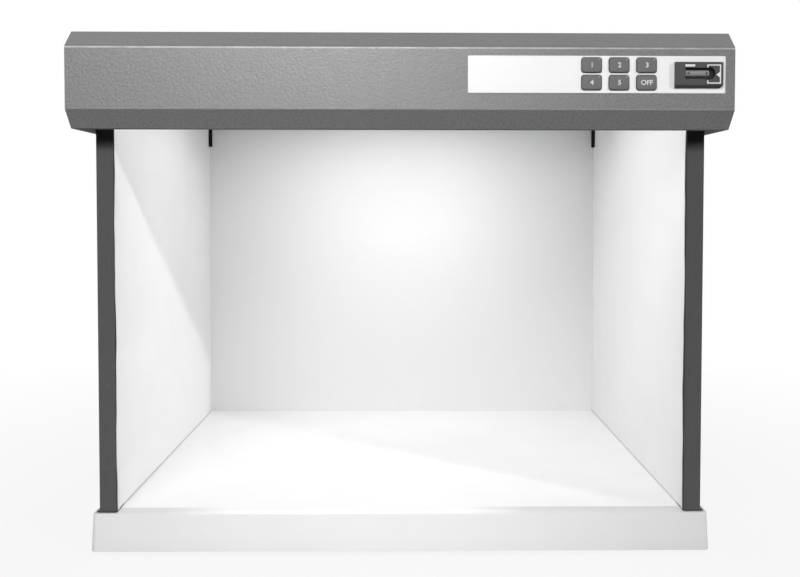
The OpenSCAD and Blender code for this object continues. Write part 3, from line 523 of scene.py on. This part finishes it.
def glass(name, colour, rough, share):
    shader = Shader(name)
    swirl = shader.noise(6 * MM, 2.0)
    shader.set(Base_Color=shader.mix(swirl, tint(colour, 0.9), colour))
    shader.set(Roughness=rough, Transmission_Weight=share, IOR=1.5)
    shader.bump(swirl, 0.02 * MM, 0.2)
    return shader.material


def metal(name, colour, rough, stretch):
    shader = basic(name, colour, rough, 0.08, 0.012, 0.0005, 0.00001, stretch, 0.0002, Metallic=1.0)
    return shader.material


def make_materials():
    return {
        "hood_paint": hood_paint(),
        "cabinet_paint": cabinet_paint(),
        "base_paint": base_paint(),
        "channel_grey": channel_grey(),
        "shoe_grey": shoe_grey(),
        "bare_sheet": basic("bare_sheet", grey(0.42), 0.5, 0.07, 0.05).material,
        "black_rubber": basic("black_rubber", grey(0.022), 0.8, 0.15, 0.008, 0.0007, 0.00006).material,
        "black_paint": basic("black_paint", grey(0.01), 0.6, 0.1, 0.01, Specular_IOR_Level=0.1).material,
        "black_screw": metal("black_screw", grey(0.06), 0.42, (1, 1, 1)),
        "zinc_steel": metal("zinc_steel", (0.62, 0.62, 0.6, 1), 0.34, (1, 1, 1)),
        "cap_aluminium": metal("cap_aluminium", (0.7, 0.7, 0.71, 1), 0.3, (1, 0.05, 0.05)),
        "brass": metal("brass", (0.72, 0.55, 0.26, 1), 0.3, (1, 1, 1)),
        "core_iron": basic("core_iron", grey(0.1), 0.6, 0.15, 0.01, 0.0008, stretch=(1, 1, 0.02)).material,
        "white_enamel": basic("white_enamel", grey(0.86), 0.28, 0.015, 0.06, 0.003, 0.00001).material,
        "white_plastic": basic("white_plastic", (0.82, 0.82, 0.8, 1), 0.45, 0.03, 0.02).material,
        "socket_ceramic": basic("socket_ceramic", (0.84, 0.82, 0.77, 1), 0.6, 0.05, 0.006).material,
        "day_phosphor": phosphor("day_phosphor", (0.93, 0.95, 0.96, 1), LEVELS["tubes"]),
        "cool_phosphor": phosphor("cool_phosphor", (0.92, 0.94, 0.93, 1), 0.05),
        "warm_phosphor": phosphor("warm_phosphor", (0.94, 0.92, 0.88, 1), 0.05),
        "uv_glass": glass("uv_glass", (0.03, 0.02, 0.09, 1), 0.08, 0.1),
        "frosted_glass": glass("frosted_glass", (0.92, 0.9, 0.87, 1), 0.5, 0.25),
        "ballast_paint": basic("ballast_paint", grey(0.03), 0.35, 0.12, 0.02).material,
        "board_green": basic("board_green", (0.03, 0.17, 0.07, 1), 0.35, 0.15, 0.004, 0.0006).material,
        "relay_plastic": basic("relay_plastic", (0.05, 0.12, 0.4, 1), 0.3, 0.06, 0.01).material,
        "plate_white": basic("plate_white", grey(0.94), 0.4, 0.012, 0.03, 0.0009, 0.00001).material,
        "key_grey": basic("key_grey", grey(0.115), 0.6, 0.06, 0.006, 0.0005, 0.00003).material,
        "meter_plastic": meter_plastic(),
        "scale_grey": basic("scale_grey", grey(0.35), 0.5, 0.06, 0.004, 0.0006).material,
        "vial_glass": glass("vial_glass", grey(0.3), 0.25, 0.1),
        "black_plastic": basic("black_plastic", grey(0.02), 0.45, 0.12, 0.01, 0.0006).material,
        "legend_ink": basic("legend_ink", grey(0.72), 0.55, 0.05, 0.002, 0.0003, 0.00001).material,
        "mark_white": basic("mark_white", grey(0.85), 0.5, 0.03, 0.003, 0.0004, 0.00001).material,
        "dot_black": basic("dot_black", grey(0.012), 0.4, 0.1, 0.003, 0.0004, 0.00001).material,
    }


def dress_nodes(materials):
    """Each CAD node takes the finish that is named like its slot in the record."""
    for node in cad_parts.values():
        slot = node.material_slots[0]
        slot.material = materials[slot.material.name.split(".")[0]]
    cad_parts["panel_shoes"].material_slots[0].material = materials["shoe_grey"]


# Building blocks


def add_piece(name, mesh, material, body=BOOTH):
    piece = bpy.data.objects.new(name, mesh)
    scene.collection.objects.link(piece)
    mesh.materials.append(material)
    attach(piece, body)
    return piece


def mesh_of(name, build):
    mesh = bpy.data.meshes.new(name)
    made = bmesh.new()
    build(made)
    bmesh.ops.recalc_face_normals(made, faces=made.faces)
    made.to_mesh(mesh)
    made.free()
    return mesh


def smooth_by_angle(mesh, degrees=35):
    mesh.polygons.foreach_set("use_smooth", [True] * len(mesh.polygons))
    mesh.set_sharp_from_angle(angle=math.radians(degrees))


def rounded_ring(width, height, radius, y, steps=6):
    """Points round a rounded rectangle that faces -Y."""
    points = []
    for turn, (sx, sz) in enumerate(((1, 1), (-1, 1), (-1, -1), (1, -1))):
        cx, cz = sx * (width / 2 - radius), sz * (height / 2 - radius)
        for step in range(steps + 1):
            angle = math.radians(90 * turn + 90 * step / steps)
            points.append(Vector((cx + radius * math.cos(angle), y, cz + radius * math.sin(angle))))
    return points


def loft(made, rings):
    """Skins a row of rings that have the same count of points, and closes both ends."""
    rows = [[made.verts.new(p) for p in ring] for ring in rings]
    count = len(rows[0])
    for a, b in zip(rows, rows[1:]):
        for i in range(count):
            made.faces.new((a[i], a[(i + 1) % count], b[(i + 1) % count], b[i]))
    made.faces.new(rows[0])
    made.faces.new(rows[-1])


def circle_ring(radius, y, steps=24):
    turns = [2 * math.pi * k / steps for k in range(steps)]
    return [Vector((radius * math.cos(t), y, radius * math.sin(t))) for t in turns]


def plate(made, points, y0, y1):
    """An outline of (x, z) points, drawn out from y0 to y1."""
    loft(made, [[Vector((x, y, z)) for x, z in points] for y in (y0, y1)])


# Keys: the lip is how far the rear flange stands out at the sides, and at the top and bottom

KEY_LIP = (1.2 * MM, 0.8 * MM)
KEY_CORNER = 3.0 * MM
KEY_FILLET = 1.1 * MM
KEY_FLANGE = (4.4 * MM, 5.6 * MM)
KEY_STEM = 2.2 * MM
KEY_DRAFT = 0.25 * MM
FILLET_STEPS = 6
LEGEND_H = 7.0 * MM
LEGEND_T = 0.12 * MM
LEGEND_BOLD = 0.028
LENS = (2.2 * MM, 0.9 * MM, 0.2 * MM)
LENS_CORNER = 0.44 * MM
LENS_TOP = (1.76 * MM, 0.54 * MM, 0.3 * MM)
LENS_TOP_CORNER = 0.25 * MM
LENS_SUNK = 0.1 * MM
LENS_LEAN_DEG = 24
LENS_INSET = (3.4 * MM, 2.2 * MM)
KEYS = (("key_day", "1"), ("key_cool_white", "2"), ("key_store", "3"),
        ("key_incandescent", "4"), ("key_uv", "5"), ("key_off", "OFF"))


def build_key(made, width, height, depth):
    """A key cap with a drafted wall, rolled front edge, rear flange and stem. Its front is at y = 0."""
    wide, high = width + 2 * KEY_LIP[0], height + 2 * KEY_LIP[1]
    rings = [rounded_ring(wide, high, KEY_CORNER, KEY_FLANGE[1]),
             rounded_ring(wide, high, KEY_CORNER, KEY_FLANGE[0]),
             rounded_ring(width, height, KEY_CORNER, KEY_FLANGE[0])]
    for step in range(FILLET_STEPS + 1):
        angle = math.radians(90 * step / FILLET_STEPS)
        inset = KEY_DRAFT + KEY_FILLET * (1 - math.cos(angle))
        y = KEY_FILLET * (1 - math.sin(angle))
        rings.append(rounded_ring(width - 2 * inset, height - 2 * inset, KEY_CORNER - inset, y))
    loft(made, rings)
    loft(made, [circle_ring(KEY_STEM, KEY_FLANGE[1]), circle_ring(KEY_STEM, depth)])


def lettering_mesh(name, text, height, thick):
    """Plain letters that face -Y, centred on the origin."""
    curve = bpy.data.curves.new(name, "FONT")
    curve.body = text
    curve.align_x = "CENTER"
    curve.align_y = "CENTER"
    curve.size = height
    curve.offset = LEGEND_BOLD * height
    curve.extrude = thick / 2
    letters = bpy.data.objects.new(name, curve)
    scene.collection.objects.link(letters)
    graph = bpy.context.evaluated_depsgraph_get()
    mesh = bpy.data.meshes.new_from_object(letters.evaluated_get(graph))
    bpy.data.objects.remove(letters)
    mesh.transform(Matrix.Rotation(math.radians(90), 4, "X"))
    xs = [v.co.x for v in mesh.vertices]
    zs = [v.co.z for v in mesh.vertices]
    mesh.transform(Matrix.Translation((-(min(xs) + max(xs)) / 2, 0, -(min(zs) + max(zs)) / 2)))
    mesh.name = name
    return mesh


def build_indicator(made):
    """The small lens in a key's upper right corner: a leaning bar with round ends."""
    wide, high, thick = LENS
    top_wide, top_high, top_thick = LENS_TOP
    loft(made, [rounded_ring(wide, high, LENS_CORNER, LENS_SUNK),
                rounded_ring(wide, high, LENS_CORNER, -thick),
                rounded_ring(top_wide, top_high, LENS_TOP_CORNER, -top_thick)])
    lean = Matrix.Rotation(math.radians(LENS_LEAN_DEG), 3, "Y")
    bmesh.ops.rotate(made, verts=made.verts, matrix=lean)


def add_keys(materials):
    for node, legend in KEYS:
        low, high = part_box(node)
        middle = (low + high) / 2
        width = high.x - low.x - 2 * KEY_LIP[0]
        height = high.z - low.z - 2 * KEY_LIP[1]
        front = Vector((middle.x, low.y, middle.z))
        cap_mesh = mesh_of(node + "_cap", lambda made: build_key(made, width, height, high.y - low.y))
        cap_mesh.transform(Matrix.Translation(front))
        smooth_by_angle(cap_mesh)
        cap = add_piece(node + "_cap", cap_mesh, materials["key_grey"], node)
        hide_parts(node)
        letters = lettering_mesh(node + "_legend", legend, LEGEND_H, LEGEND_T)
        letters.transform(Matrix.Translation(front))
        add_piece(node + "_legend", letters, materials["legend_ink"], node)
        if legend != "OFF":
            lens = mesh_of(node + "_lens", build_indicator)
            corner = Vector((width / 2 - LENS_INSET[0], 0, height / 2 - LENS_INSET[1]))
            lens.transform(Matrix.Translation(front + corner))
            add_piece(node + "_lens", lens, materials["scale_grey"], node)


# Hour meter marks: outlines in millimetres from the lower left corner of the bezel

MARK_T = 0.12 * MM
MARK_SUNK = 0.05 * MM
DASH = ((10.0, 21.5), (20.0, 21.5), (20.0, 23.7), (10.0, 23.7))
BRACKET = ((32.4, 4.2), (46.6, 4.2), (46.6, 23.7), (32.4, 23.7), (32.4, 20.4), (33.6, 20.4),
           (33.6, 22.5), (45.4, 22.5), (45.4, 5.4), (33.6, 5.4), (33.6, 7.5), (32.4, 7.5))
POINTER = ((41.8, 13.4), (45.4, 10.5), (45.4, 16.3))
# Dots on the vial: radius and depth of each ring, and how far they lie from the vial's ends
DOT_RINGS = ((1.2 * MM, 0.9 * MM), (1.2 * MM, -0.05 * MM), (0.8 * MM, -0.15 * MM))
DOT_INSET = 2.6 * MM


def add_meter_marks(materials):
    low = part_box("meter_bezel")[0]

    def build(made):
        for outline in (DASH, BRACKET, POINTER):
            points = [(low.x + x * MM, low.z + z * MM) for x, z in outline]
            plate(made, points, low.y - MARK_T, low.y + MARK_SUNK)

    mesh = mesh_of("meter_marks", build)
    add_piece("meter_marks", mesh, materials["mark_white"])

    vial_low, vial_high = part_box("meter_vial")
    middle = (vial_low + vial_high) / 2

    def build_dots(made):
        for x in (vial_low.x + DOT_INSET, vial_high.x - DOT_INSET):
            rings = [circle_ring(radius, vial_low.y + deep) for radius, deep in DOT_RINGS]
            loft(made, [[p + Vector((x, 0, middle.z)) for p in ring] for ring in rings])

    add_piece("meter_dots", mesh_of("meter_dots", build_dots), materials["dot_black"])


# Paint strips that lap from the walls over the inner legs of the channels

STRIP_W = 8.0 * MM
STRIP_T = 0.35 * MM
STRIP_ROWS = 90
# Waves of a strip's edge: length, share and phase
STRIP_WAVES = ((0.21, 0.6, 1.0), (0.083, 0.3, 2.1), (0.037, 0.15, 0.4))
# Each strip's side, how far behind the channel's front its edge lies, and how far the edge swings
STRIPS = ((-1, "left", 1.8 * MM, 2.0 * MM), (1, "right", 4.6 * MM, 1.8 * MM))


def uneven(z):
    """A wavy line along the height, between about -1 and 1."""
    return sum(share * math.sin(2 * math.pi * z / length + phase) for length, share, phase in STRIP_WAVES)


def add_edge_strips(materials):
    for side, name, lap, swing in STRIPS:
        low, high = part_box(name + "_side_panel")
        front, rear = (corner.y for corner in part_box(name + "_edge_channel"))
        wall = high.x if side < 0 else low.x
        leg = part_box(name + "_edge_channel")[1 if side < 0 else 0].x
        proud = -side * STRIP_T
        rings = []
        for row in range(STRIP_ROWS + 1):
            z = low.z + (high.z - low.z) * row / STRIP_ROWS
            edge = front + max(lap + swing * uneven(z * -side), STRIP_T)
            outline = ((leg, edge), (leg + proud, edge + STRIP_T), (leg + proud, rear),
                       (wall + proud, rear + STRIP_T), (wall + proud, rear + STRIP_W),
                       (wall, rear + STRIP_W), (wall, rear), (leg, rear))
            rings.append([Vector((x, y, z)) for x, y in outline])
        mesh = mesh_of(name + "_edge_strip", lambda made: loft(made, rings))
        add_piece(name + "_edge_strip", mesh, materials["cabinet_paint"])


# Screws with a cross recess

SCREW_STEPS = 48
SCREW_TURN_DEG = 37
# The head: its straight rim as a share of its height, then its rounding and its flat top as shares of
# its radius
RIM_SHARE = 0.4
ROUND_SHARE = 0.4
ROUND_DEG = (0, 25, 50, 70)
FLAT_SHARE = 0.66
# The recess at its mouth and its floor: reach and half width as shares of the head's radius, and height
# as a share of the head's
RECESS = ((0.58, 0.14, 1.0), (0.4, 0.1, 0.25))


def cross_ring(reach, width, y, steps):
    """Points round a plus sign, as many as a circle ring with the same steps."""
    points = []
    for k in range(steps):
        turn = 2 * math.pi * k / steps
        across, up = max(abs(math.cos(turn)), TINY), max(abs(math.sin(turn)), TINY)
        far = max(min(reach / across, width / up), min(width / across, reach / up))
        points.append(Vector((far * math.cos(turn), y, far * math.sin(turn))))
    return points


def build_screw(made, head_r, head_h, shank_r, length):
    """A pan-head screw that faces -Y, with its seat at y = 0 and its shank behind it."""
    steps = SCREW_STEPS
    rings = [circle_ring(shank_r, length, steps), circle_ring(shank_r, 0, steps),
             circle_ring(head_r, 0, steps)]
    for turn in ROUND_DEG:
        angle = math.radians(turn)
        y = -head_h * (RIM_SHARE + (1 - RIM_SHARE) * math.sin(angle))
        rings.append(circle_ring(head_r * (1 - ROUND_SHARE + ROUND_SHARE * math.cos(angle)), y, steps))
    rings.append(circle_ring(head_r * FLAT_SHARE, -head_h, steps))
    for reach, width, tall in RECESS:
        rings.append(cross_ring(head_r * reach, head_r * width, -head_h * tall, steps))
    loft(made, rings)


def loose_boxes(node):
    """The low and high corner of each separate solid in a CAD node."""
    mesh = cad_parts[node].data
    made = bmesh.new()
    made.from_mesh(mesh)
    bmesh.ops.remove_doubles(made, verts=made.verts, dist=TINY)
    left = set(made.verts)
    boxes = []
    while left:
        group, fresh = set(), [left.pop()]
        while fresh:
            vert = fresh.pop()
            group.add(vert)
            for edge in vert.link_edges:
                other = edge.other_vert(vert)
                if other in left:
                    left.remove(other)
                    fresh.append(other)
        low = Vector([min(v.co[i] for v in group) for i in range(3)])
        high = Vector([max(v.co[i] for v in group) for i in range(3)])
        boxes.append((low, high))
    made.free()
    return sorted(boxes, key=lambda box: tuple(round(c, 5) for c in box[0]))


# Screws by node: finish, radius and height of the head
SCREWS = (("hood_screws", "black_screw", 3.2 * MM, 1.6 * MM),
          ("back_panel_screws", "black_screw", 5.0 * MM, 2.2 * MM),
          ("inlet_screws", "zinc_steel", 3.2 * MM, 1.4 * MM),
          ("foot_screws", "zinc_steel", 4.0 * MM, 2.5 * MM))


def outward(node, low, high):
    """The way a screw faces: along its odd side, away from the middle of the booth."""
    size = high - low
    along = max(range(3), key=lambda i: min(abs(size[i] - size[j]) for j in range(3) if j != i))
    way = Vector((0, 0, 0))
    way[along] = -1.0 if node == "foot_screws" or (low + high)[along] < 0 else 1.0
    return along, way


def add_screws(materials):
    for node, finish, head_r, head_h in SCREWS:
        joined = bmesh.new()
        for count, (low, high) in enumerate(loose_boxes(node)):
            along, way = outward(node, low, high)
            length = high[along] - low[along] - head_h
            screw = mesh_of("screw", lambda made: build_screw(made, head_r, head_h, head_r / 2, length))
            seat = (low + high) / 2
            seat[along] = (high if way[along] > 0 else low)[along] - way[along] * head_h
            turn = Matrix.Rotation(math.radians(SCREW_TURN_DEG * count), 4, way)
            face = way.to_track_quat("-Y", "Z").to_matrix().to_4x4()
            screw.transform(Matrix.Translation(seat) @ turn @ face)
            joined.from_mesh(screw)
            bpy.data.meshes.remove(screw)
        mesh = bpy.data.meshes.new(node + "_cross")
        joined.to_mesh(mesh)
        joined.free()
        smooth_by_angle(mesh)
        piece = add_piece(node + "_cross", mesh, materials[finish])
        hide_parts(node)


def main():
    add_camera()
    add_world()
    add_floor()
    add_lights()
    materials = make_materials()
    dress_nodes(materials)
    add_keys(materials)
    add_meter_marks(materials)
    add_edge_strips(materials)
    add_screws(materials)


main()
